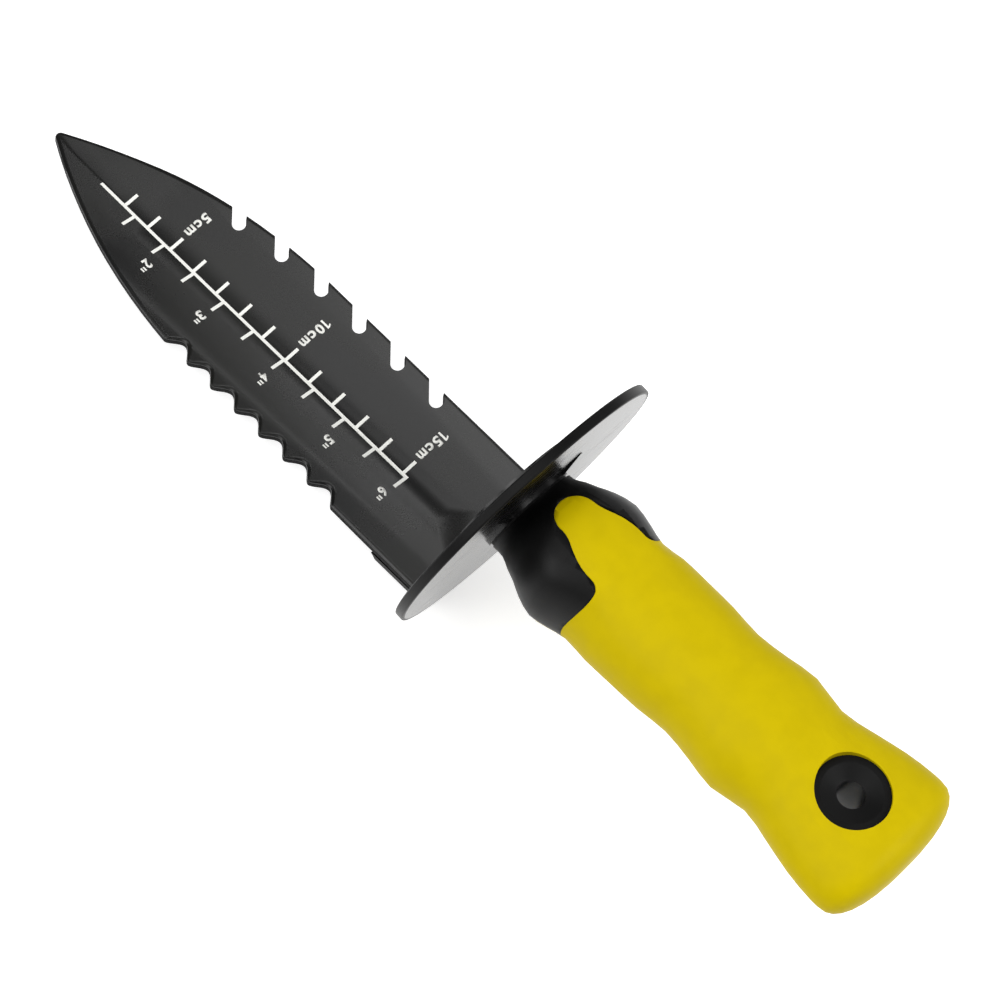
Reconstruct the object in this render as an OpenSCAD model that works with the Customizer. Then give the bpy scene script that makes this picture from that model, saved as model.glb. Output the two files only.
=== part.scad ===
// Hand trowel: a cranked and pressed steel blade, a hand guard and a two-part moulded handle.
// Millimetres. X runs along the handle axis toward the tip of the blade, Z is up on the
// hollow side of the blade, and the origin is where the handle axis meets the front face
// of the guard.

/* [Blade] */
// Distance from the guard to the tip of the blade
blade_reach = 193; // [170:1:215]
// Width of the blade
blade_w = 52; // [46:1:54]
// Thickness of the blade plate
blade_t = 2.5; // [2:0.1:3]
// How far the guard reaches below the valley of the blade
rim_reach = 3.4; // [2.8:0.2:6]
// Slope of each half of the blade beside its valley
valley_angle = 9; // [6:0.5:12]
// Radius of the dish across each half of the blade
dish_r = 200; // [120:10:400]
// Radius of the two arcs that draw the point of the blade
point_r = 195; // [160:5:240]
// Radius of the very tip
nose_r = 1.6; // [1:0.2:3]
// Length of the tip that is turned up
lift_len = 45; // [35:1:60]
// Radius that the tip is turned up to
lift_r = 420; // [300:10:800]

/* [Saw edge] */
// Number of saw slots
slot_count = 6; // [3:1:6]
// Distance from one slot to the next
slot_pitch = 16.3; // [14:0.1:17]
// Place of the slot nearest the guard, at the centre of its round end
slot_x = 49.6; // [43:0.2:55]
// Depth of a slot below the edge
slot_depth = 5.4; // [4:0.1:7]
// Radius of the round end of a slot
slot_r = 2.15; // [1.6:0.05:2.6]
// Slope of a slot to the edge
slot_angle = 45; // [35:1:60]

/* [Wave edge] */
// Number of hollows in the wave edge
wave_count = 7; // [4:1:7]
// Distance from one hollow to the next
wave_pitch = 10.45; // [9:0.05:11]
// Place of the hollow nearest the guard
wave_x = 49.1; // [45:0.1:55]
// Depth of a hollow below the edge
wave_depth = 4.4; // [3:0.1:5.5]
// Depth of the crests between the hollows below the edge
wave_trim = 0.6; // [0:0.1:1.2]

/* [Tang] */
// Width of the tang and of the riser that lifts it to the handle
tang_w = 20; // [14:1:22]
// Length of the tang inside the handle
tang_len = 89; // [70:1:92]
// Distance from the guard to the front of the flat ramp at the root of the blade
ramp_x = 26.2; // [20:0.2:30]
// Slope of the ramp
ramp_angle = 8.5; // [6:0.5:11]
// How deep the riser is set into the face of the guard
riser_set = 1.2; // [0.8:0.1:1.4]
// Diameter of the two pins through the tang
pin_d = 4; // [3:0.5:6]
// Distance from the end of the tang to the last pin
pin_end = 12; // [8:1:16]
// Distance from one pin to the other
pin_pitch = 32; // [24:1:34]

/* [Guard] */
// Diameter of the guard
guard_d = 94; // [88:1:110]
// Thickness of the guard
guard_t = 3; // [2.6:0.1:4.5]
// Rake of the guard, with its top leaning toward the hand
rake = 8.3; // [4:0.1:10]
// Rounding of the edges of its rim
rim_round = 0.5; // [0.2:0.1:1.2]
// Diameter of the hub on the front of the guard
hub_d = 44; // [38:1:50]
// Height of the hub
hub_h = 3; // [2.8:0.1:5]
// Width of the pedestal between the hub and the blade
pedestal_w = 26; // [24:1:36]
// Diameter of the collar on the back of the guard
collar_d = 29.6; // [28:0.2:34]
// Length of the collar
collar_len = 1.2; // [1:0.1:4]
// Thickness of the lip under the root of the blade
lip_t = 2; // [1.5:0.1:3]
// Distance from the guard to the front of the lip
lip_x = 23.5; // [18:0.5:28]
// Reach of the two gussets beside the collar
gusset_len = 8; // [4:0.5:10]
// Thickness of the gussets
gusset_t = 1.6; // [1.2:0.1:3]
// Height of the outer end of the gussets
gusset_toe = 0.3; // [0.2:0.1:0.8]

/* [Seal] */
// Thickness of the seal between the collar and the handle
seal_t = 0.7; // [0.6:0.1:2]
// Depth of the groove that the seal leaves
seal_groove = 0.8; // [0.5:0.1:1.5]

/* [Handle] */
// Distance from the guard to the butt of the handle
handle_len = 147.7; // [140:0.5:165]
// Width of the ring at the front of the handle
ring_w = 28.6; // [27:0.2:31]
// Width of the handle across its cheeks
swell_w = 42.6; // [38:0.2:46]
// Height of the handle at its cheeks
swell_h = 38.4; // [36:0.2:42]
// Width of the handle behind its cheeks
waist_w = 37.6; // [34:0.2:40]
// Width of the handle under the palm
palm_w = 39.2; // [36:0.2:42]
// Height of the handle under the palm
palm_h = 33; // [32:0.5:38]
// Width of the ridge between the two rear finger rests
ridge_w = 42.8; // [40:0.2:45]
// Width of the handle at its butt
butt_w = 51; // [46:0.5:54]
// Height of the handle at its butt
butt_h = 24.4; // [23:0.2:30]
// Length over which the butt is rounded
butt_round = 9.6; // [7:0.2:14]
// Depth of the finger rests along the underside
finger_depth = 1.1; // [0:0.1:1.5]
// Distance from the guard to the start of the finger rests
finger_x = 60; // [56:1:64]
// Length of one finger rest
finger_pitch = 30; // [26:1:32]

/* [Nose and core] */
// Radius of the core inside the grip
core_r = 12.5; // [11.5:0.1:13]
// Distance from the guard to where the core gets thinner
core_step_x = 97; // [93:1:101]
// Radius of the core toward the butt
core_tail_r = 8.5; // [7:0.1:9]
// Distance from the guard to where the black nose ends underneath
nose_x = 27; // [23:0.5:30]
// Distance from the guard to the back of the black cheeks
cheek_x = 35.5; // [31:0.5:41]
// How far the back of the cheeks reaches below the handle axis
cheek_drop = 8; // [5:0.5:11]
// Rounding of the rear corner of the cheeks
cheek_round = 2.6; // [1:0.2:4]
// Width of the thumb rest at the back of the cheeks
tongue_w = 23; // [18:0.5:26]
// Width of the thumb rest at its front
tongue_front_w = 13; // [10:0.5:16]
// Distance from the guard to the front of the thumb rest
tongue_x = 12.5; // [11:0.5:17]

/* [Hanging hole] */
// Distance from the guard to the hanging hole
eyelet_x = 124.3; // [120:0.5:127]
// Diameter of the eyelet
eyelet_d = 22; // [18:1:24]
// Diameter of the hanging hole
hole_d = 8; // [5:0.5:12]
// Depth of the eyelet's face below the crown of the handle
eyelet_sink = 1.2; // [0.4:0.1:2]
// Depth of the dish in the eyelet's face
eyelet_dish = 1.5; // [0.5:0.1:2.5]
// Width of the flat rim of its face
eyelet_lip = 2; // [1:0.2:3]

/* [Fits] */
// Gap between pieces that are seated on each other
fit = 0.1; // [0.05:0.05:0.2]

/* [Hidden] */
$fn = 96;

STEEL = [0.20, 0.20, 0.21];
GLOSS = [0.05, 0.05, 0.05];
RUBBER = [0.10, 0.10, 0.10];
NYLON = [0.08, 0.08, 0.09];
YELLOW = [0.84, 0.78, 0.05];
ZINC = [0.70, 0.71, 0.72];

far = 400;                                   // size of a block that only cuts a half space
overlap = 1;                                 // how far joined shapes of one piece run together
half_w = blade_w/2;
blade_drop = guard_d/2 - rim_reach;          // height of the handle axis above the valley
arc_in = point_r - half_w;                   // side offset of each point arc's centre
nose_x0 = blade_reach - nose_r - sqrt(pow(point_r - nose_r, 2) - pow(arc_in, 2));
nose_cx = blade_reach - nose_r;
nose_tan = nose_x0 + (nose_cx - nose_x0)*point_r/(point_r - nose_r);
lift_x = blade_reach - lift_len;
lift_turn = asin(1.2*lift_len/lift_r);       // turn of the tip, a little past its end
seal_x = guard_t + collar_len;               // distance behind the guard's face
core_x = seal_x + seal_t;
riser_x = blade_t - riser_set;               // front face of the riser
pin_x = tang_len - pin_end;                  // distance of the last pin behind the face

// Half width of the smooth outline of the blade at a distance x from the guard
function edge(x) = x < nose_x0 ? half_w : sqrt(pow(point_r, 2) - pow(x - nose_x0, 2)) - arc_in;

// Depth of the wave edge below that outline; a power below 1 sharpens its crests
wave_end = wave_x + (wave_count - 1)*wave_pitch;
crest_power = 0.8;
function wave_low(x) = (x < wave_x || x > wave_end) ? 0 : wave_trim;
function wave(x) = wave_low(x) + (wave_depth - wave_low(x))
    *pow((1 + cos(360*(x - wave_x)/wave_pitch))/2, crest_power);

// Turns what is drawn upright on the handle axis into the plane of the guard
module raked() {
    rotate([0, -rake, 0]) children();
}

// Half space behind a plane that is parallel to the guard, a distance x in front of its face
module behind(x) {
    raked() translate([x - far, -far/2, -far/2]) cube([far, far, far]);
}

// Half space in front of such a plane
module ahead(x) {
    raked() translate([x, -far/2, -far/2]) cube([far, far, far]);
}

// ---- blade ----

// Region under the hollow face of the blade, as a section across it
module hollow_section() {
    deep = 20;
    difference() {
        translate([-blade_w, -deep]) square([2*blade_w, 2*deep]);
        for (s = [-1, 1])
            intersection() {
                translate([-s*dish_r*sin(valley_angle), dish_r*cos(valley_angle)])
                    circle(dish_r, $fn = 360);
                translate([s > 0 ? 0 : -2*blade_w, -deep]) square([2*blade_w, 4*deep]);
            }
    }
}

// Solid under the hollow face, with the turned-up tip and the ramp at the root
module under_face(low) {
    ramp_deep = 8;
    translate([0, 0, -blade_drop - low]) {
        rotate([90, 0, 90]) linear_extrude(lift_x) hollow_section();
        translate([lift_x, 0, lift_r]) rotate([90, 90, 0])
            rotate_extrude(angle = lift_turn, $fn = 360)
                translate([lift_r, 0]) rotate(90) hollow_section();
        translate([ramp_x, 0, 0]) rotate([0, ramp_angle, 0])
            translate([-2*ramp_x, -tang_w, -ramp_deep])
                cube([2*ramp_x, 2*tang_w, ramp_deep]);
    }
}

// Outline of the blade with its saw slots
module blade_outline() {
    difference() {
        union() {
            intersection() {
                translate([0, -half_w]) square([nose_tan, blade_w]);
                translate([nose_x0, -arc_in]) circle(point_r, $fn = 720);
                translate([nose_x0, arc_in]) circle(point_r, $fn = 720);
            }
            translate([0, -half_w]) square([nose_x0, blade_w]);
            translate([nose_cx, 0]) circle(nose_r);
        }
        for (i = [0 : slot_count - 1]) saw_slot(slot_x + i*slot_pitch);
    }
}

module saw_slot(x) {
    translate([x, slot_depth - slot_r - edge(x)]) {
        circle(slot_r, $fn = 48);
        rotate(-slot_angle) translate([0, -slot_r]) square([4*slot_depth, 2*slot_r]);
    }
}

module wave_cut() {
    step = wave_pitch/20;
    from = wave_x - wave_pitch/2;
    to = wave_end + wave_pitch/2;
    polygon([
        for (x = [from : step : to + step/2]) [x, edge(x) - wave(x)],
        [to, blade_w],
        [from, blade_w]
    ]);
}

module blade() {
    color(STEEL) {
        difference() {
            intersection() {
                difference() {
                    under_face(0);
                    under_face(blade_t);
                }
                translate([0, 0, -2*blade_drop]) linear_extrude(2*blade_drop) blade_outline();
            }
            translate([0, 0, -2*blade_drop]) linear_extrude(2*blade_drop) wave_cut();
            behind(fit);
        }
        difference() {
            crank(0);
            under_face(blade_t/2);
            for (i = [0, 1]) pin_hole(i, 0);
        }
    }
}

// Place along the handle axis of a plane parallel to the guard, at a height z
function raked_x(x, z) = x/cos(rake) - z*tan(rake);

// Riser and tang: the strip that lifts the plate from its root to the handle axis
module crank(gap) {
    front = riser_x + gap;
    back = -riser_set - gap;
    top = blade_t/2 + gap;
    low = -blade_drop;
    translate([0, tang_w/2 + gap, 0]) rotate([90, 0, 0]) linear_extrude(tang_w + 2*gap)
        polygon([
            [raked_x(front, low), low],
            [raked_x(front, top), top],
            [-tang_len - gap, top],
            [-tang_len - gap, -top],
            [raked_x(back, -top), -top],
            [raked_x(back, low), low]
        ]);
}

// ---- guard ----

module guard() {
    color(GLOSS)
        difference() {
            union() {
                raked() guard_body();
                lip();
            }
            crank(fit);
            blade_seat();
        }
}

// Room that the guard leaves round the root of the blade
module blade_seat() {
    intersection() {
        difference() {
            under_face(-fit);
            under_face(blade_t + fit);
        }
        translate([0, -half_w - fit, -blade_drop - far/2]) cube([far, blade_w + 2*fit, far]);
        ahead(0);
    }
}

// Disc, front hub with its pedestal, and rear collar with its gussets
module guard_body() {
    rotate([0, -90, 0]) rotate_extrude($fn = 180) guard_section();
    rotate([0, 90, 0]) cylinder(h = hub_h, d = hub_d);
    translate([0, -pedestal_w/2, -blade_drop]) cube([hub_h, pedestal_w, blade_drop]);
    for (s = [-1, 1]) rotate([45*s, 0, 0]) gusset();
}

// Half section of the disc and the collar: distance from the axis, distance behind the face
module guard_section() {
    square([guard_d/2 - rim_round, guard_t]);
    translate([0, rim_round]) square([guard_d/2, guard_t - 2*rim_round]);
    for (h = [rim_round, guard_t - rim_round])
        translate([guard_d/2 - rim_round, h]) circle(rim_round, $fn = 24);
    square([collar_d/2, guard_t + collar_len]);
}

// Gusset upright beside the collar: it tapers from the collar's height to a low toe
module gusset() {
    foot = -guard_t + overlap/2;
    root = collar_d/2 - overlap;
    toe = collar_d/2 + gusset_len;
    translate([0, gusset_t/2, 0]) rotate([90, 0, 0]) linear_extrude(gusset_t)
        polygon([
            [foot, root],
            [foot, toe],
            [-guard_t - gusset_toe, toe],
            [-guard_t - collar_len, root]
        ]);
}

// Lip of the guard under the root of the blade
module lip() {
    difference() {
        intersection() {
            difference() {
                under_face(blade_t + fit);
                under_face(blade_t + fit + lip_t);
            }
            translate([0, -half_w, -blade_drop]) rotate([0, 45, 0])
                translate([-far, 0, -far/2]) cube([far + lip_x*cos(45), blade_w, far]);
        }
        behind(-guard_t/2);
    }
}

// ---- handle ----

// Handle stations: share of the handle's length, width, height
STATIONS = [
    [0.020, 0.99*ring_w, 0.99*ring_w],
    [0.033, ring_w, ring_w],
    [0.054, 1.01*ring_w, 1.01*ring_w],
    [0.076, 0.74*swell_w, 0.88*swell_h],
    [0.100, 0.80*swell_w, 0.96*swell_h],
    [0.130, 0.91*swell_w, swell_h],
    [0.170, swell_w, swell_h],
    [0.210, 0.95*swell_w, 0.98*swell_h],
    [0.250, waist_w, 0.95*swell_h],
    [0.305, palm_w, 1.05*palm_h],
    [0.372, palm_w, 1.01*palm_h],
    [0.440, 0.99*palm_w, palm_h],
    [0.508, 0.94*palm_w, palm_h],
    [0.575, 0.92*ridge_w, 0.99*palm_h],
    [0.643, ridge_w, 0.96*palm_h],
    [0.718, 0.91*ridge_w, 0.90*palm_h],
    [0.785, 0.85*butt_w, 1.12*butt_h],
    [0.853, 0.95*butt_w, 1.04*butt_h],
    [0.920, butt_w, butt_h],
    [1.000, butt_w, 0.98*butt_h]
];

// Smooth curve through the stations, by Catmull-Rom pieces, as distance, half width, half height
function curve(p0, p1, p2, p3, t) = 0.5*((2*p1) + (p2 - p0)*t
    + (2*p0 - 5*p1 + 4*p2 - p3)*t*t + (3*p1 - p0 - 3*p2 + p3)*t*t*t);
function station(i) = STATIONS[max(0, min(len(STATIONS) - 1, i))];
function along(i, t) =
    let (s = curve(station(i - 1), station(i), station(i + 1), station(i + 2), t))
    [s[0]*handle_len, s[1]/2, s[2]/2];

// Rings of the handle's surface, the last of them rounding off the butt
side_power = 0.9;                            // below 1, sections are slightly square
butt_power = 2.5;                            // above 2, the butt is blunter than an ellipse
ring_sides = 44;
cap_steps = 8;
BODY = [
    for (i = [0 : len(STATIONS) - 2]) for (t = [0, 0.5])
        if (along(i, t)[0] < handle_len - butt_round) along(i, t)
];
CAP = [
    for (i = [0 : cap_steps - 1])
        let (a = 90*i/cap_steps, f = pow(cos(a), 2/butt_power))
        [
            handle_len - butt_round*(1 - pow(sin(a), 2/butt_power)),
            f*butt_w/2,
            f*butt_h/2
        ]
];
RINGS = [each BODY, each CAP];

// Depth of the finger rests, two in a row along the underside
function finger(x) = x < finger_x || x > finger_x + 2*finger_pitch ? 0
    : finger_depth*(1 - cos(360*(x - finger_x)/finger_pitch))/2;
function bent(v) = sign(v)*pow(abs(v), side_power);

module handle_form() {
    n = ring_sides;
    m = len(RINGS);
    points = [
        for (r = RINGS) for (k = [0 : n - 1])
            let (c = cos(360*k/n), s = sin(360*k/n), low = s < 0 ? finger(r[0])*s*s : 0)
            [-r[0], r[1]*bent(c), r[2]*bent(s) + low]
    ];
    faces = [
        [for (k = [n - 1 : -1 : 0]) k],
        [for (k = [0 : n - 1]) (m - 1)*n + k],
        for (j = [0 : m - 2]) for (k = [0 : n - 1])
            let (a = j*n + k, b = j*n + (k + 1)%n)
            each [[a, b, a + n], [b, b + n, a + n]]
    ];
    polyhedron(points, faces, convexity = 6);
}

// Where the black nose and its cheeks reach, with the thumb rest left out
module nose_zone(gap) {
    difference() {
        union() {
            translate([-nose_x - gap, -far/2, -far/2]) cube([far, far, far]);
            translate([-cheek_x - gap, -far/2, -cheek_drop - gap]) cube([far, far, far]);
        }
        thumb_rest(gap);
    }
}

// Thumb rest on top of the nose: round at the front, flaring toward the rounded cheek corners
module thumb_rest(gap) {
    front = tongue_front_w/2 - gap;
    flare = (tongue_w - tongue_front_w)/2;
    from = -tongue_x - front;
    corner = -cheek_x + cheek_round;
    side = [
        for (i = [0 : 8]) [from + (corner - from)*i/8, front + flare*(1 - cos(22.5*i))/2],
        for (i = [1 : 5])
            [
                corner - gap - cheek_round*sin(18*i),
                front + flare + cheek_round*(1 - cos(18*i))
            ],
        [-cheek_x - overlap, front + flare + cheek_round]
    ];
    linear_extrude(swell_h) {
        translate([from, 0]) circle(front);
        polygon([
            each side,
            for (i = [len(side) - 1 : -1 : 0]) [side[i][0], -side[i][1]]
        ]);
    }
}

// Rods of the core inside the grip
module core_rods(gap) {
    rotate([0, -90, 0]) {
        cylinder(h = core_step_x + gap, r = core_r + gap);
        cylinder(h = eyelet_x, r = core_tail_r + gap);
    }
}

module core() {
    color(NYLON)
        difference() {
            union() {
                intersection() {
                    handle_form();
                    nose_zone(0);
                }
                core_rods(0);
            }
            ahead(-core_x);
            crank(fit);
            for (i = [0, 1]) pin_hole(i, 0);
            eyelet_bore();
        }
}

module grip() {
    color(YELLOW)
        difference() {
            handle_form();
            nose_zone(fit);
            core_rods(fit);
            eyelet_bore();
            ahead(-core_x);
        }
}

module seal_ring() {
    color(RUBBER)
        difference() {
            raked() rotate([0, -90, 0]) translate([0, 0, seal_x])
                cylinder(h = seal_t, d = collar_d - 2*seal_groove);
            crank(fit);
        }
}

module pin_hole(i, gap) {
    translate([-pin_x + i*pin_pitch, 0, -core_r])
        cylinder(h = 2*core_r, d = pin_d + 2*gap, $fn = 48);
}

module tang_pins() {
    color(ZINC)
        for (i = [0, 1])
            intersection() {
                pin_hole(i, -fit/2);
                core_rods(0);
            }
}

module eyelet_bore() {
    translate([-eyelet_x, 0, -butt_h]) cylinder(h = 2*butt_h, d = eyelet_d);
}

// Half section of the eyelet, dished toward the hole at both ends
module hang_eyelet() {
    top = butt_h/2 - eyelet_sink;
    rim = eyelet_d/2 - fit;
    bowl = top - eyelet_dish;
    color(NYLON)
        translate([-eyelet_x, 0, 0]) rotate_extrude()
            polygon([
                [hole_d/2, -bowl],
                [rim - eyelet_lip, -top],
                [rim, -top],
                [rim, top],
                [rim - eyelet_lip, top],
                [hole_d/2, bowl]
            ]);
}

blade();
guard();
seal_ring();
core();
tang_pins();
grip();
hang_eyelet();
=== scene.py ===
# %% [markdown]
# # Hand trowel
# The tool has a cranked and pressed steel blade, a round hand guard and a two-part moulded
# handle. This lesson takes the engineering model as it is, gives each of its pieces the
# surface that the real one has, and adds what only the eye needs: the last set that the press
# leaves in the plate, its soft edges, and the measuring scale that is printed on it.

# %% Load the engineering model
import bpy
import bmesh
import math
from mathutils import Matrix, Quaternion, Vector


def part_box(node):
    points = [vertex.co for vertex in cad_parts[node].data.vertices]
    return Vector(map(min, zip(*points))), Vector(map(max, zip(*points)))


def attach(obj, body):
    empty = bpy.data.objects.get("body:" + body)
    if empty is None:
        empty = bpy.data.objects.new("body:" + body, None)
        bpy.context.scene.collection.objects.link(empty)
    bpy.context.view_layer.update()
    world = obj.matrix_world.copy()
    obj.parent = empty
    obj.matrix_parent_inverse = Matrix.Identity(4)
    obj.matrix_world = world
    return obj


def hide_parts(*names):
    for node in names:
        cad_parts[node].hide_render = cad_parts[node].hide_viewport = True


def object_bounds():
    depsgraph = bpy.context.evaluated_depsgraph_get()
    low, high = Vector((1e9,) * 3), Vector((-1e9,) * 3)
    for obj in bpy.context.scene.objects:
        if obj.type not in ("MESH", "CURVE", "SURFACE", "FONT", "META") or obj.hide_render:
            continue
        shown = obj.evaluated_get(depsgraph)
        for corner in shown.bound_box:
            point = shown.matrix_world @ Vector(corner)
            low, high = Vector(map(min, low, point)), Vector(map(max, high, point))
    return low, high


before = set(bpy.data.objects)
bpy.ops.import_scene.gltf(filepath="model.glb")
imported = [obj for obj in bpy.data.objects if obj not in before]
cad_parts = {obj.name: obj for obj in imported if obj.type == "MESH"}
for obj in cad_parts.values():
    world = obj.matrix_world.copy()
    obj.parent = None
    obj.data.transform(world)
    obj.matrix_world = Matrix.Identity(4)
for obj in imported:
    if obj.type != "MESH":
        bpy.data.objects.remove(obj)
cad_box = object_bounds()
print("nodes", sorted(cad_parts))

# %% [markdown]
# Everything is measured in millimetres on the real tool, and Blender works in metres.
# One value holds that step, so every size below can be read as it would be on a drawing.
# X runs from the guard to the tip of the blade, and the wavy edge lies on the side of +Y.

# %% Units
MM = 0.001


def mm(*values):
    return Vector([value*MM for value in values])


def in_mm(values, digits=1):
    return [round(value/MM, digits) for value in values]


for name in sorted(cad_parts):
    low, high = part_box(name)
    print(name, "from", in_mm(low), "to", in_mm(high))

# %% [markdown]
# ## Camera
# The tool is seen from above its hollow side, from behind the guard and turned in the
# picture, as it would be held out in front of somebody. A long lens from almost a metre away
# keeps the far end of the blade from shrinking much.

# %% Camera
eye = mm(-193.1, 363.4, 769.5)
look = Vector((0.2254, -0.4121, -0.8828)).normalized()
roll = math.radians(17.9)
sensor_mm, lens_mm = 36, 112.13
camera = bpy.data.objects.new("camera", bpy.data.cameras.new("camera"))
bpy.context.scene.collection.objects.link(camera)
camera.rotation_mode = "QUATERNION"
camera.location = eye
camera.rotation_quaternion = look.to_track_quat("-Z", "Y") @ Quaternion((0, 0, 1), roll)
camera.data.sensor_width = sensor_mm
camera.data.lens = lens_mm
camera.data.clip_start = 0.05
camera.data.clip_end = 50
bpy.context.scene.camera = camera
print("camera", round(eye.length/MM), "mm from the middle of the guard")

# %% [markdown]
# ## Shader sums
# A finish is a small calculation: take a pattern, weigh it, add it to a colour. Nodes can do
# all of it, but a long chain of them is hard to read, so one small class wraps a socket.
# Sums on it add Math nodes by themselves, and one method adds any other node.

# %% A socket that can be used in sums
class Wire:
    def __init__(self, tree, socket=None):
        self.tree = tree
        self.socket = socket

    def node(self, kind, settings=None, inputs=None, out=0):
        made = self.tree.nodes.new(kind)
        for name, value in (settings or {}).items():
            setattr(made, name, value)
        for name, value in (inputs or {}).items():
            if isinstance(value, Wire):
                self.tree.links.new(value.socket, made.inputs[name])
            else:
                made.inputs[name].default_value = value
        return Wire(self.tree, made.outputs[out])

    def sum(self, operation, first, second=0.0):
        return self.node("ShaderNodeMath", {"operation": operation}, {0: first, 1: second})

    def __add__(self, other):
        return self.sum("ADD", self, other)

    def __radd__(self, other):
        return self.sum("ADD", other, self)

    def __sub__(self, other):
        return self.sum("SUBTRACT", self, other)

    def __rsub__(self, other):
        return self.sum("SUBTRACT", other, self)

    def __mul__(self, other):
        return self.sum("MULTIPLY", self, other)

    def __rmul__(self, other):
        return self.sum("MULTIPLY", other, self)


# %% [markdown]
# Noise serves nearly every finish here. It gives cloudy, random change, and can be stretched
# along one axis, as brushing is. It reads Object coordinates, so that the pattern is fixed to
# the piece. A ramp then squeezes a pattern to the range that is wanted, and a mix turns it
# into a colour.

# %% Patterns
def place_on(start):
    return start.node("ShaderNodeTexCoord", out="Object")


def noise(start, size_mm, detail, stretch=(1, 1, 1)):
    turned = start.node("ShaderNodeMapping", {}, {"Vector": place_on(start), "Scale": stretch})
    inputs = {"Vector": turned, "Scale": 1/(size_mm*MM), "Detail": detail}
    return start.node("ShaderNodeTexNoise", {}, inputs, "Fac")


def between(start, pattern, low, high, to_low=0.0, to_high=1.0):
    return start.node(
        "ShaderNodeMapRange",
        {"clamp": True, "interpolation_type": "SMOOTHSTEP"},
        {"Value": pattern, "From Min": low, "From Max": high, "To Min": to_low, "To Max": to_high},
    )


def mixed(start, factor, first, second):
    inputs = {0: factor, 6: (*first, 1), 7: (*second, 1)}
    return start.node("ShaderNodeMix", {"data_type": "RGBA"}, inputs, 2)


def bump(start, height, depth_mm, under=None):
    inputs = {"Height": height, "Distance": depth_mm*MM}
    if under:
        inputs["Normal"] = under
    return start.node("ShaderNodeBump", {}, inputs, "Normal")


# %% [markdown]
# Each finish starts as an empty node tree with one Principled shader. Values that are the
# same all over go straight onto its sockets, and only what changes over the surface is
# wired in. Where a surface is two things at once, another shader takes the place of the first
# one at the output.

# %% A finish to start from
def spaced(values):
    return {name.replace("_", " "): value for name, value in values.items()}


def to_surface(last):
    output = next(node for node in last.tree.nodes if node.type == "OUTPUT_MATERIAL")
    last.tree.links.new(last.socket, output.inputs["Surface"])


def new_finish(name, **fixed):
    material = bpy.data.materials.new(name)
    material.use_nodes = True
    tree = material.node_tree
    tree.nodes.clear()
    tree.nodes.new("ShaderNodeOutputMaterial")
    start = Wire(tree)
    shader = start.node("ShaderNodeBsdfPrincipled", {}, spaced(fixed))
    to_surface(shader)
    return material, start, shader


def wire_in(shader, **changing):
    for name, value in spaced(changing).items():
        shader.tree.links.new(value.socket, shader.socket.node.inputs[name])


# %% [markdown]
# ## Blade finish
# The plate is stamped from carbon steel and coated with a satin black paint. Such a coat is
# never quite even: it has a faint orange-peel skin, and it is a little duller in cloudy
# patches. Both are far too fine for geometry, so noise drives the bump and the roughness.
#
# A press also rolls the plate over its die, so the hollow face dips in a soft curve along
# its border. The dip is about half a millimetre deep and follows the outline, so the finish
# works out how far each point is from it: half the width of the blade, less the arc of the
# point, less the waves. The slope of the border turns a distance across the blade into the
# shortest one.

# %% Distance from the border of the blade
real_reach, real_width = 191.3, 51.6
half_w, point_r, arc_x = real_width/2, 193.5, 96.5
wave_x, wave_end, wave_pitch, wave_depth, wave_power = 49.2, 111.3, 10.35, 4.4, 0.8
slope_step = 0.1


def along(start, axis):
    return start.node("ShaderNodeSeparateXYZ", {}, {0: place_on(start)}, axis)*(1/MM)


def half_width(x):
    ahead = x.sum("MAXIMUM", x - arc_x, 0.0)
    return x.sum("SQRT", point_r**2 - ahead*ahead) - (point_r - half_w)


def hollow(x):
    swing = 0.5 + 0.5*x.sum("COSINE", (x - wave_x)*(2*math.pi/wave_pitch))
    first = x.sum("GREATER_THAN", x, wave_x - wave_pitch/2)
    last = x.sum("LESS_THAN", x, wave_end + wave_pitch/2)
    return wave_depth*x.sum("POWER", swing, wave_power)*first*last


def from_border(x, y, wavy):
    def border(place):
        return half_width(place) - hollow(place) if wavy else half_width(place)

    slope = (border(x + slope_step) - border(x - slope_step))*(0.5/slope_step)
    return (border(x) - y)*x.sum("INVERSE_SQRT", 1.0 + slope*slope)


def dip(start, distance, width_mm):
    near = start.sum("MAXIMUM", 1.0 - distance*(1/width_mm), 0.0)
    return near*near


print("border of the blade", half_w, "mm from its middle, waves from", wave_x, "to", wave_end)

# %% [markdown]
# The wavy edge is rolled the most, and the saw edge, which is cut after pressing, the least.
# The dips lie over the paint's own skin, so their bump takes that of the skin as the normal
# to start from.

# %% Satin black paint on the blade
rolled_width, rolled_depth = 1.5, 0.55
cut_width, cut_depth = 1.0, 0.25


def satin_paint():
    material, start, shader = new_finish("blade_steel", Specular_IOR_Level=0.5)
    x = along(start, "X")
    y = along(start, "Y")
    rolled = dip(start, from_border(x, y, True), rolled_width)*(-rolled_depth)
    cut = dip(start, from_border(x, -1*y, False), cut_width)*(-cut_depth)
    clouds = noise(start, 30, 3)
    skin = noise(start, 0.9, 2)
    patches = between(start, clouds, 0.3, 0.7)
    wire_in(
        shader,
        Base_Color=mixed(start, patches, (0.003, 0.003, 0.003), (0.006, 0.006, 0.005)),
        Roughness=between(start, clouds, 0.25, 0.75, 0.24, 0.28) + 0.03*skin,
        Normal=bump(start, rolled + cut, 1, bump(start, skin, 0.006)),
    )
    return material
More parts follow.
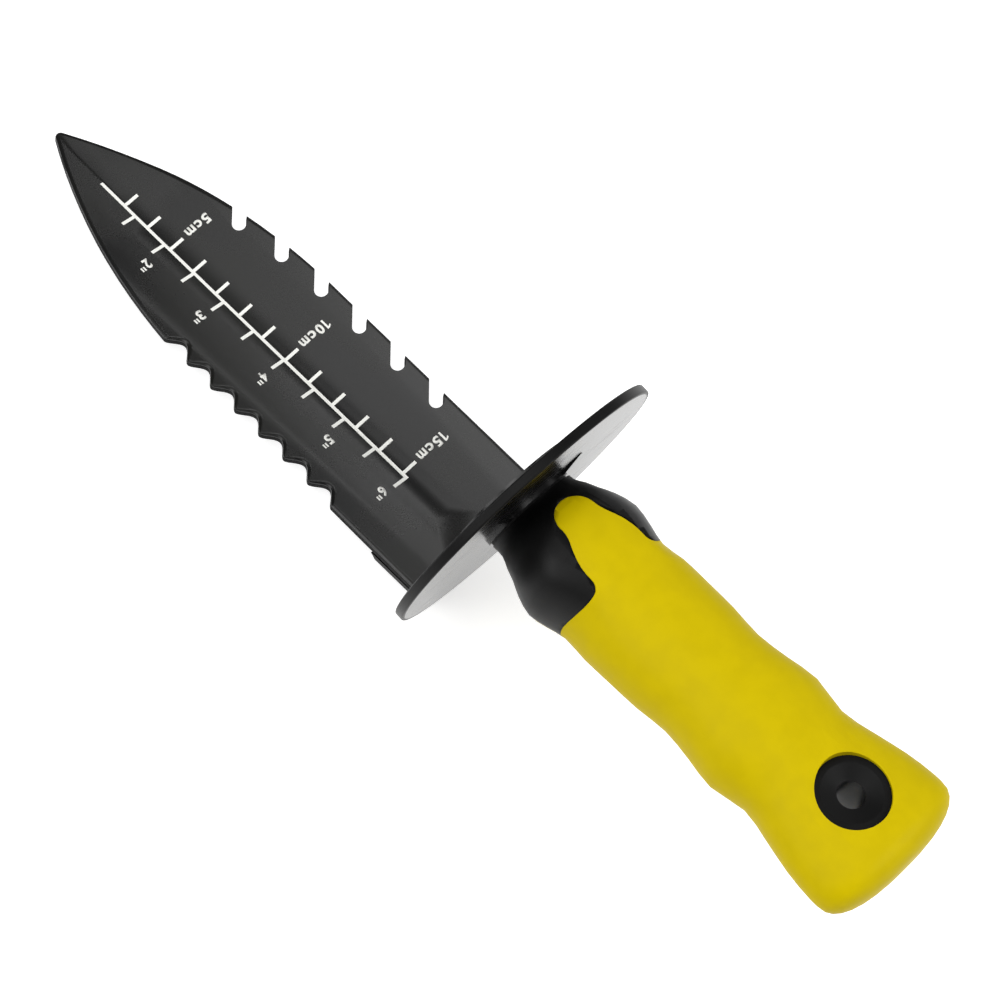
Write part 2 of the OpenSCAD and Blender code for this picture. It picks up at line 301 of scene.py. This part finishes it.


# %% [markdown]
# ## Guard finish
# The guard is injection moulded in a polished tool, so it is glossy black. What breaks the
# gloss on the real one is handling, which leaves hair-fine scratches across the disc: a noise
# drawn out along Y. The rim is what strikes the ground, so it has lost its polish. It is also
# painted darker than that wear gives: its dull, weakly reflecting shader is painted shade, in
# place of the dark surroundings that a glossy rim mirrors. The distance from the middle of the
# disc says where that starts, and mixes in that dull, shaded shader.

# %% Glossy moulded guard
rim_from, rim_to = 45.8, 46.4
# Dull rim shader: lost polish from wear, and painted shade that darkens the rim's reflection.
worn_and_shaded_look = {
    "Base Color": (0.003, 0.003, 0.003, 1),
    "Roughness": 0.42,
    "Specular IOR Level": 0.12,
}


def gloss_plastic():
    material, start, shader = new_finish("guard_plastic", Specular_IOR_Level=0.5)
    waves = noise(start, 14, 1)
    scuffs = noise(start, 2.2, 4, (1, 0.12, 1))
    wire_in(
        shader,
        Base_Color=mixed(start, waves, (0.002, 0.002, 0.002), (0.004, 0.004, 0.004)),
        Roughness=between(start, scuffs, 0.55, 0.8, 0.25, 0.33),
        Normal=bump(start, waves, 0.02),
    )
    # The rim gets the dull shader, which is wear and painted shade on the rim at once.
    worn_and_shaded = start.node("ShaderNodeBsdfPrincipled", {}, worn_and_shaded_look)
    length = {"operation": "LENGTH"}
    reach = start.node("ShaderNodeVectorMath", length, {0: place_on(start)}, "Value")
    rim = between(start, reach*(1/MM), rim_from, rim_to)
    to_surface(start.node("ShaderNodeMixShader", {}, {0: rim, 1: shader, 2: worn_and_shaded}))
    return material


# %% [markdown]
# ## Handle finishes
# The nose and core are black nylon with a fine spark-eroded grain. The grip is a smooth
# yellow rubber moulded over it, with a skin that is almost matt and a hint of mottling where
# the pigment has not mixed fully. The seal is plain dull rubber with a little dust on it.

# %% Nylon and rubber
def grained_nylon(name, grain_mm=0.35):
    material, start, shader = new_finish(name, Specular_IOR_Level=0.14)
    grain = noise(start, grain_mm, 3)
    clouds = noise(start, 11, 2)
    wire_in(
        shader,
        Base_Color=mixed(start, clouds, (0.002, 0.002, 0.002), (0.004, 0.004, 0.004)),
        Roughness=between(start, clouds, 0.3, 0.7, 0.42, 0.50),
        Normal=bump(start, grain, 0.015),
    )
    return material


def yellow_rubber():
    material, start, shader = new_finish("grip_rubber", Specular_IOR_Level=0.05)
    mottle = noise(start, 6, 4)
    grain = noise(start, 0.5, 3)
    patches = between(start, mottle, 0.3, 0.7)
    wire_in(
        shader,
        Base_Color=mixed(start, patches, (0.555, 0.425, 0.0), (0.585, 0.45, 0.0)),
        Roughness=between(start, mottle, 0.2, 0.8, 0.44, 0.54),
        Normal=bump(start, grain, 0.014),
    )
    return material


def dull_rubber():
    material, start, shader = new_finish("seal_rubber", Specular_IOR_Level=0.3)
    dust = noise(start, 1.2, 4)
    patches = between(start, dust, 0.45, 0.8)
    wire_in(
        shader,
        Base_Color=mixed(start, patches, (0.012, 0.012, 0.012), (0.03, 0.03, 0.028)),
        Roughness=between(start, dust, 0.2, 0.8, 0.65, 0.8),
        Normal=bump(start, dust, 0.02),
    )
    return material


# %% [markdown]
# The two pins through the tang are bright zinc-plated steel. They are closed in by the
# grip, but the model can be taken apart, so they get their brushed finish all the same: a
# noise that is squeezed along the pin, which reads as fine rings left by the lathe.

# %% Plated pins
def plated_steel():
    material, start, shader = new_finish("pin_steel", Metallic=1.0)
    rings = noise(start, 0.6, 3, (0.2, 0.2, 6))
    wire_in(
        shader,
        Base_Color=mixed(start, rings, (0.50, 0.51, 0.52), (0.62, 0.62, 0.61)),
        Roughness=between(start, rings, 0.3, 0.7, 0.22, 0.36),
        Normal=bump(start, rings, 0.01),
    )
    return material


# %% [markdown]
# The sheared side of the plate is rough and drinks light, so it gets a finish of its own:
# near-black, rough, and with almost no gloss. Its noise is drawn out through the thickness of
# the plate, as the tears of a shear are.

# %% Cut edge
def cut_edge():
    material, start, shader = new_finish("cut_edge", Specular_IOR_Level=0.12)
    tears = noise(start, 0.5, 3, (1, 1, 0.25))
    wire_in(
        shader,
        Base_Color=mixed(start, tears, (0.002, 0.002, 0.002), (0.005, 0.005, 0.005)),
        Roughness=between(start, tears, 0.2, 0.8, 0.6, 0.8),
        Normal=bump(start, tears, 0.03),
    )
    return material


# %% [markdown]
# Each node of the engineering model has one slot, and the finish of its real piece goes there.

# %% Finishes on the nodes
finishes = {
    "blade": satin_paint(),
    "guard": gloss_plastic(),
    "seal_ring": dull_rubber(),
    "core": grained_nylon("core_nylon"),
    "tang_pins": plated_steel(),
    "grip": yellow_rubber(),
    "hang_eyelet": grained_nylon("eyelet_nylon", 0.25),
}
for name, material in finishes.items():
    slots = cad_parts[name].data.materials
    slots.clear()
    slots.append(material)
    print(name, "is finished in", material.name)

# %% [markdown]
# ## Skins
# The engineering model has the right shapes, but a drawing has no worn corners and its curves
# are cut into flat facets. So three pieces get a skin: a copy of the node's mesh, whose loose
# triangles are first merged into one surface, whose flat neighbours are dissolved into
# whole faces, and which is then rounded and shaded as moulded or pressed work is.

# %% Helpers for new pieces
def only(piece):
    bpy.ops.object.select_all(action="DESELECT")
    piece.select_set(True)
    bpy.context.view_layer.objects.active = piece


def settle(piece):
    only(piece)
    bpy.ops.object.transform_apply(location=True, rotation=True, scale=True)


def join(pieces, name):
    only(pieces[0])
    for piece in pieces:
        piece.select_set(True)
    bpy.ops.object.join()
    pieces[0].name = name
    return pieces[0]


def apply_all(piece):
    only(piece)
    for modifier in list(piece.modifiers):
        bpy.ops.object.modifier_apply(modifier=modifier.name)


def smooth(value, start, end):
    share = min(1, max(0, (value - start)/(end - start)))
    return share*share*(3 - 2*share)


# %% [markdown]
# Neighbours count as flat when they meet at less than half a degree, which is far finer than
# the facets of any curve here.

# %% A skin from a node
flat_degrees = 0.4


def skin_of(node, name, weld_mm):
    piece = bpy.data.objects.new(name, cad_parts[node].data.copy())
    bpy.context.scene.collection.objects.link(piece)
    only(piece)
    bpy.ops.object.mode_set(mode="EDIT")
    bpy.ops.mesh.select_all(action="SELECT")
    bpy.ops.mesh.remove_doubles(threshold=weld_mm*MM)
    bpy.ops.mesh.dissolve_limited(angle_limit=math.radians(flat_degrees))
    bpy.ops.object.mode_set(mode="OBJECT")
    return piece


# %% [markdown]
# A Bevel modifier rounds edges by a width that each edge may scale with a weight. The
# weights are set in code: an edge is looked at only if its two faces meet at a clear angle,
# and a rule says from its middle and its faces how round it is. Weighted normals then keep
# the broad faces flat and let only the narrow new ones turn the light.

# %% Rounding by weight
def weigh_edges(piece, degrees, rule):
    shape = bmesh.new()
    shape.from_mesh(piece.data)
    layer = shape.edges.layers.float.new("bevel_weight_edge")
    rounded = 0
    for edge in shape.edges:
        if edge.is_manifold and edge.calc_face_angle() > math.radians(degrees):
            middle = (edge.verts[0].co + edge.verts[1].co)/2/MM
            edge[layer] = rule(middle, [face.normal for face in edge.link_faces])
            rounded += edge[layer] > 0
    shape.to_mesh(piece.data)
    shape.free()
    return rounded


def round_edges(piece, width_mm, segments):
    only(piece)
    bpy.ops.object.shade_smooth()
    soft = piece.modifiers.new("soft", "BEVEL")
    soft.limit_method = "WEIGHT"
    soft.width = width_mm*MM
    soft.segments = segments
    soft.use_clamp_overlap = False
    even = piece.modifiers.new("even", "WEIGHTED_NORMAL")
    even.weight = 100
    apply_all(piece)


# %% [markdown]
# ## The set of the blade
# A drawing gives the blade as a straight plate. The real one leaves the press a little
# different: it is set up by about a degree from the guard, its front half rises in a very
# slow curve, and the point turns level again. It is also a hair shorter and narrower than
# drawn. Its waves sit half a millimetre, and its saw slots up to one and a half, from their
# drawn places. So the skin is moved point by point, by formulas that fade to nothing at the
# root, where the blade meets the guard.

# %% Moving the skin of the blade
set_up = math.tan(math.radians(1.1))
curl_x, curl_r = 101.3, 2800
bend_x, bend_r = 148, 420
drawn_low, drawn_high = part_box("blade")
reach_scale = real_reach*MM/drawn_high.x
width_scale = real_width*MM/(drawn_high.y - drawn_low.y)
narrow_x = 20
slide_from, slide_to, slide_side = (15, 45), (135, 185), (8, 18)
wave_slide = 0.5
slot_slide, slot_still_x = 0.0213, 61.3


def slide(x, y):
    held = smooth(x, *slide_from)*(1 - smooth(x, *slide_to))*smooth(abs(y), *slide_side)
    return held*(wave_slide if y > 0 else slot_slide*(x - slot_still_x))


def set_blade(piece):
    for vertex in piece.data.vertices:
        x, y, z = vertex.co/MM
        if x > 0:
            curl = max(0, x - curl_x)**2/(2*curl_r) - max(0, x - bend_x)**2/(2*bend_r)
            z += set_up*x + curl
            y *= 1 + (width_scale - 1)*min(1, x/narrow_x)
            x *= reach_scale
            vertex.co = mm(x + slide(x, y), y, z)


print("reach times", round(reach_scale, 5), "and width times", round(width_scale, 5))

# %% [markdown]
# The edges of the plate lose their sharpness in a tumbler before it is painted. The upper
# edge along the waves is the roundest. The crank at the root, which the guard covers, stays
# the sharpest. None is rounded by more than about a third of a millimetre.

# %% Skin of the blade
root_x = 12
sharp_degrees = 35
blade_round = 0.35


def blade_roundness(middle, normals):
    on_top = max(normal.z for normal in normals) > 0.7
    if middle.x < root_x:
        return 0.5
    return 1.0 if on_top and middle.y > 0 else 0.6


blade_skin = skin_of("blade", "blade_skin", 0.001)
set_blade(blade_skin)
print("rounded edges", weigh_edges(blade_skin, sharp_degrees, blade_roundness))
round_edges(blade_skin, blade_round, 2)

# %% [markdown]
# ## Skins of the handle
# The nose and the grip are one flowing form. The cheeks of the real nose reach a little
# farther back and up at their upper corner than drawn, so one soft push moves that corner
# in both skins at once, on both sides, and the seam stays closed. The shading is then
# smoothed over every edge that is not a seam or the mouth of a recess.

# %% Moving the cheeks and shading the skins
cheek_middle, cheek_reach = (-35.3, 15.3, 12), 15
cheek_back, cheek_in, cheek_up = -2.5, -1.5, 1.6
seam_degrees = 20
handle_weld = 0.02


def widen_cheeks(piece):
    for vertex in piece.data.vertices:
        x, y, z = vertex.co/MM
        share = 1 - smooth(math.dist((x, abs(y), z), cheek_middle), 0, cheek_reach)
        vertex.co += share*mm(cheek_back, math.copysign(1, y)*cheek_in, cheek_up)


def handle_skin(node):
    piece = skin_of(node, node + "_skin", handle_weld)
    widen_cheeks(piece)
    only(piece)
    bpy.ops.object.shade_smooth_by_angle(angle=math.radians(seam_degrees))
    even = piece.modifiers.new("even", "WEIGHTED_NORMAL")
    even.keep_sharp = True
    even.weight = 60
    apply_all(piece)
    print(piece.name, "has", len(piece.data.polygons), "faces")
    return piece


core_skin = handle_skin("core")
grip_skin = handle_skin("grip")

# %% [markdown]
# Every skin takes the finish of its node, stands in for it and stays with the same body.

# %% Skins in place of their nodes
for skin, node, slot in (
    (blade_skin, "blade", "blade_steel"),
    (core_skin, "core", "core_nylon"),
    (grip_skin, "grip", "grip_rubber"),
):
    skin.data.materials.clear()
    skin.data.materials.append(finishes[node])
    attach(skin, "root")
    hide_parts(node)
    print(skin.name, "replaces", node)

# %% [markdown]
# The cut faces of the plate are found by their normals: they stand nearly upright. The crank
# at the root also has upright faces, but those are painted, so the search starts past it.

# %% Cut faces of the blade
upright = 0.35
blade_skin.data.materials.append(cut_edge())
cut_faces = 0
for face in blade_skin.data.polygons:
    if abs(face.normal.z) < upright and face.center.x > root_x*MM:
        face.material_index = 1
        cut_faces += 1
print("cut faces", cut_faces, "of", len(blade_skin.data.polygons))

# %% [markdown]
# ## Printed scale
# A white scale is screen printed on the hollow face: centimetres on one side of a line and
# half inches on the other, counted from the tip. Print has almost no thickness, so each
# stroke is a thin strip that is laid onto the steel. A Shrinkwrap modifier drops
# it straight down onto the plate, which keeps the strip flat against the dish and the crease.

# %% Values of the scale
scale_zero = 189.6
centimetre, cm_marks = 10, range(3, 16)
inch_start, half_inch, inch_marks = 38.0, 12.98, range(10)
line_from, line_to, line_part = 37.5, 169.8, 8
stroke_w = 1.05
cm_reach, inch_reach = -5.4, 5.2
line_cuts, mark_cuts, sign_cuts = 7, 5, 2
print_height = -15
print_slope = 0.0100
ink_lift, ink_depth = 0.035, 0.06
print("scale from", cm_marks[0], "to", cm_marks[-1], "cm")

# %% [markdown]
# A stroke starts as a plane of one square metre, is resized to its length and width, and is
# subdivided so that it can bend with the plate. The long line is a row of short ones.

# %% Strokes
def stroke(x0, x1, y0, y1, cuts):
    bpy.ops.object.select_all(action="DESELECT")
    middle = mm((x0 + x1)/2, (y0 + y1)/2, print_height)
    bpy.ops.mesh.primitive_plane_add(size=1, location=middle)
    piece = bpy.context.object
    bpy.ops.transform.resize(value=((x1 - x0)*MM, (y1 - y0)*MM, 1))
    settle(piece)
    bpy.ops.object.mode_set(mode="EDIT")
    bpy.ops.mesh.select_all(action="SELECT")
    bpy.ops.mesh.subdivide(number_cuts=cuts)
    bpy.ops.object.mode_set(mode="OBJECT")
    return piece


half = stroke_w/2
line_parts = math.ceil((line_to - line_from)/line_part)
line_step = (line_to - line_from)/line_parts
strokes = []
for i in range(line_parts):
    x = line_from + line_step*i
    strokes.append(stroke(x, x + line_step, -half, half, line_cuts))
for mark in cm_marks:
    x = scale_zero - centimetre*mark
    strokes.append(stroke(x - half, x + half, cm_reach, -half, mark_cuts))
for mark in inch_marks:
    x = inch_start + half_inch*mark
    strokes.append(stroke(x - half, x + half, half, inch_reach, mark_cuts))
scale_strokes = join(strokes, "scale_strokes")
print("strokes", len(strokes))

# %% [markdown]
# The figures are text objects in the built-in sans face, thickened by the curve's offset,
# because screen print spreads. Each sign is fitted to its own box, since the printed face
# is wider and more even than the built-in one. They read across the blade, with their feet
# toward the tip, and become meshes before they are placed. The built-in one has no flag
# and the inch sign slants, so both are built from strokes.

# %% One sign of the scale
text_size = 5
ink_spread = 0.036
stem_w, flag_h, flag_slant = 0.62, 0.55, 0.55
bar_h, bar_w, bar_gap = 1.5, 0.55, 0.95


def sign(letter, foot, y0, y1, height):
    bpy.ops.object.select_all(action="DESELECT")
    bpy.ops.object.text_add(location=(0, 0, 0))
    piece = bpy.context.object
    piece.data.body = letter
    piece.data.size = text_size*MM
    piece.data.offset = ink_spread*text_size*MM
    piece.data.resolution_u = 5
    bpy.ops.object.convert(target="MESH")
    low, high = Vector(piece.bound_box[0]), Vector(piece.bound_box[6])
    piece.data.transform(Matrix.Translation(-low))
    wide, tall = (y1 - y0)*MM/(high.x - low.x), height*MM/(high.y - low.y)
    piece.data.transform(Matrix.Diagonal((wide, tall, 1, 1)))
    piece.rotation_euler = (0, 0, math.pi/2)
    piece.location = mm(foot, y0, print_height)
    settle(piece)
    return piece


def one(foot, y0, y1, height):
    top = foot - height
    stem = stroke(top, foot, y1 - stem_w, y1, sign_cuts)
    flag = stroke(top, top + flag_h, y0, y1 - stem_w, sign_cuts)
    for vertex in flag.data.vertices:
        vertex.co.x += ((y1 - stem_w)*MM - vertex.co.y)*flag_slant
    return join([stem, flag], "one")


def inch_sign(foot, height, y0):
    top = foot - height
    bars = [stroke(top, top + bar_h, y, y + bar_w, sign_cuts) for y in (y0, y0 + bar_gap)]
    return join(bars, "inch")


# %% [markdown]
# Three of the centimetre marks carry a label of three or four signs, and each whole inch a
# number and the inch sign. A label is a row of spans across the blade, one for each sign.

# %% Figures
digit_h, small_h, inch_h = 3.45, 2.5, 3.55
label_foot = 1.75
long_label = ((-17.55, -16.05), (-15.35, -13.2), (-12.65, -10.55), (-9.95, -6.95))
short_label = ((-15.85, -13.7), (-13.1, -11.0), (-10.4, -7.2))
inch_span, inch_sign_y = (8.1, 10.25), 10.85
inch_feet = {6: 40.6, 5: 63.2, 4: 90.9, 3: 118.2, 2: 141.4}
figures = []
for mark, spans in ((15, long_label), (10, long_label), (5, short_label)):
    foot = scale_zero - centimetre*mark + label_foot
    for letter, span in zip(f"{mark}cm", spans):
        if letter == "1":
            figures.append(one(foot, *span, digit_h))
        else:
            figures.append(sign(letter, foot, *span, digit_h if letter.isdigit() else small_h))
for inches, foot in inch_feet.items():
    figures.append(sign(str(inches), foot, *inch_span, inch_h))
    figures.append(inch_sign(foot, inch_h, inch_sign_y))
scale_figures = join(figures, "scale_figures")
print("signs", len(figures))

# %% [markdown]
# Ink is chalky white and slightly broken where the paint's skin stands proud, so a fine
# noise varies its brightness. The whole print is a hair out of line with the blade, as a
# screen laid on by hand is. Once dropped onto the plate, it gets the thickness of a film.

# %% Ink, laid on the plate
def white_ink():
    material, start, shader = new_finish("white_ink", Specular_IOR_Level=0.2)
    speck = noise(start, 0.35, 3)
    broken = between(start, speck, 0.3, 0.6)
    wire_in(
        shader,
        Base_Color=mixed(start, broken, (0.84, 0.84, 0.79), (0.94, 0.94, 0.90)),
        Roughness=between(start, speck, 0.2, 0.8, 0.55, 0.7),
    )
    return material


ink = white_ink()
for piece in (scale_strokes, scale_figures):
    for vertex in piece.data.vertices:
        vertex.co.y += print_slope*(vertex.co.x - line_from*MM)
    piece.data.materials.clear()
    piece.data.materials.append(ink)
    drop = piece.modifiers.new("drop", "SHRINKWRAP")
    drop.wrap_method = "PROJECT"
    drop.use_project_z = True
    drop.use_negative_direction = True
    drop.use_positive_direction = False
    drop.target = blade_skin
    drop.offset = ink_lift*MM
    film = piece.modifiers.new("film", "SOLIDIFY")
    film.thickness = ink_depth*MM
    film.offset = -1
    apply_all(piece)
    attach(piece, "root")
    print(piece.name, "lies from", in_mm(piece.bound_box[0]), "to", in_mm(piece.bound_box[6]))

# %% [markdown]
# ## Floor and light
# The tool lies on a plain white floor, which carries its soft shadow. Rays that come from the
# camera, or from a mirror-like surface, see the floor brighter than the lamps make it, so the
# background stays white without more light on the tool.

# %% Floor
floor_size, floor_gap = 8, 0.4
seen_glow, mirrored_glow, most_glow = 0.62, 0.85, 0.95


def pale_floor():
    material, start, shader = new_finish("pale_floor", Specular_IOR_Level=0.0, Roughness=0.9,
                                         Base_Color=(0.8, 0.8, 0.8, 1))
    seen = start.node("ShaderNodeLightPath", out="Is Camera Ray")
    mirrored = start.node("ShaderNodeLightPath", out="Is Glossy Ray")
    through = start.node("ShaderNodeLightPath", out="Is Transmission Ray")
    all_glow = seen_glow*seen + mirrored_glow*mirrored + mirrored_glow*through
    glow = start.sum("MINIMUM", all_glow, most_glow)
    lit = start.node("ShaderNodeEmission", {}, {"Color": (1, 1, 1, 1), "Strength": glow})
    to_surface(start.node("ShaderNodeAddShader", {}, {0: shader, 1: lit}))
    return material


floor_z = cad_box[0].z - floor_gap*MM
bpy.ops.object.select_all(action="DESELECT")
bpy.ops.mesh.primitive_plane_add(size=floor_size, location=(0, 0, floor_z))
floor = bpy.context.object
floor.name = "floor"
floor.data.materials.append(pale_floor())
print("floor at", round(floor_z/MM, 1))

# %% [markdown]
# Six soft boxes stand round the tool, each placed where one of its faces mirrors it. The top
# one is mirrored by the half of the blade that has the saw. The narrow one and the low one
# beyond the blade are mirrored by the wavy half, which leans the other way. The one on the
# near side lights the top of the handle. The last two stand left and right, and give the
# handle and the back of the guard their shape. Lamps are placed in metres.

# %% Lamps
def soft_box(name, place, aim, size, watts):
    lamp = bpy.data.objects.new(name, bpy.data.lights.new(name, "AREA"))
    bpy.context.scene.collection.objects.link(lamp)
    lamp.data.shape = "RECTANGLE"
    lamp.data.size, lamp.data.size_y = size
    lamp.data.energy = watts
    lamp.location = place
    forward = (Vector(aim) - Vector(place)).normalized()
    across = Vector((1, 0, 0)).cross(forward).normalized()
    lamp.rotation_euler = Matrix((forward.cross(across), across, -forward)).transposed().to_euler()
    print(name, "box of", size, "m with", watts, "W")


soft_box("top", (0.2, -0.08, 1.45), (0.1, 0, 0), (1.0, 0.56), 3.0)
soft_box("near", (0.05, 0.5, 1.45), (0.05, 0.4, 0), (1.0, 0.6), 6.2)
soft_box("crease", (0.3, -1.0, 1.15), (0.1, 0, 0), (0.75, 0.18), 1.7)
soft_box("beyond", (-0.15, -1.38, 0.82), (0.0, 0, 0), (1.2, 0.5), 2.0)
soft_box("left", (0.5, 1.2, 0.9), (0, 0, 0), (0.9, 0.9), 14)
soft_box("right", (-1.1, -0.5, 0.9), (0, 0, 0), (0.8, 0.8), 12)

# %% [markdown]
# The world is white to the camera and dim to everything else, for the same reason as the
# floor: the background is clean, and the tool keeps the contrast that the lamps give it.

# %% World
world_level = 0.12
world = bpy.data.worlds.new("studio")
bpy.context.scene.world = world
world.use_nodes = True
world.node_tree.nodes.clear()
sky = Wire(world.node_tree)
seen = sky.node("ShaderNodeLightPath", out="Is Camera Ray")
level = world_level + (1 - world_level)*seen
background = sky.node("ShaderNodeBackground", {}, {"Color": (1, 1, 1, 1), "Strength": level})
world_out = world.node_tree.nodes.new("ShaderNodeOutputWorld")
world.node_tree.links.new(background.socket, world_out.inputs["Surface"])
bpy.context.scene.view_settings.view_transform = "Standard"
print("world level", world_level)
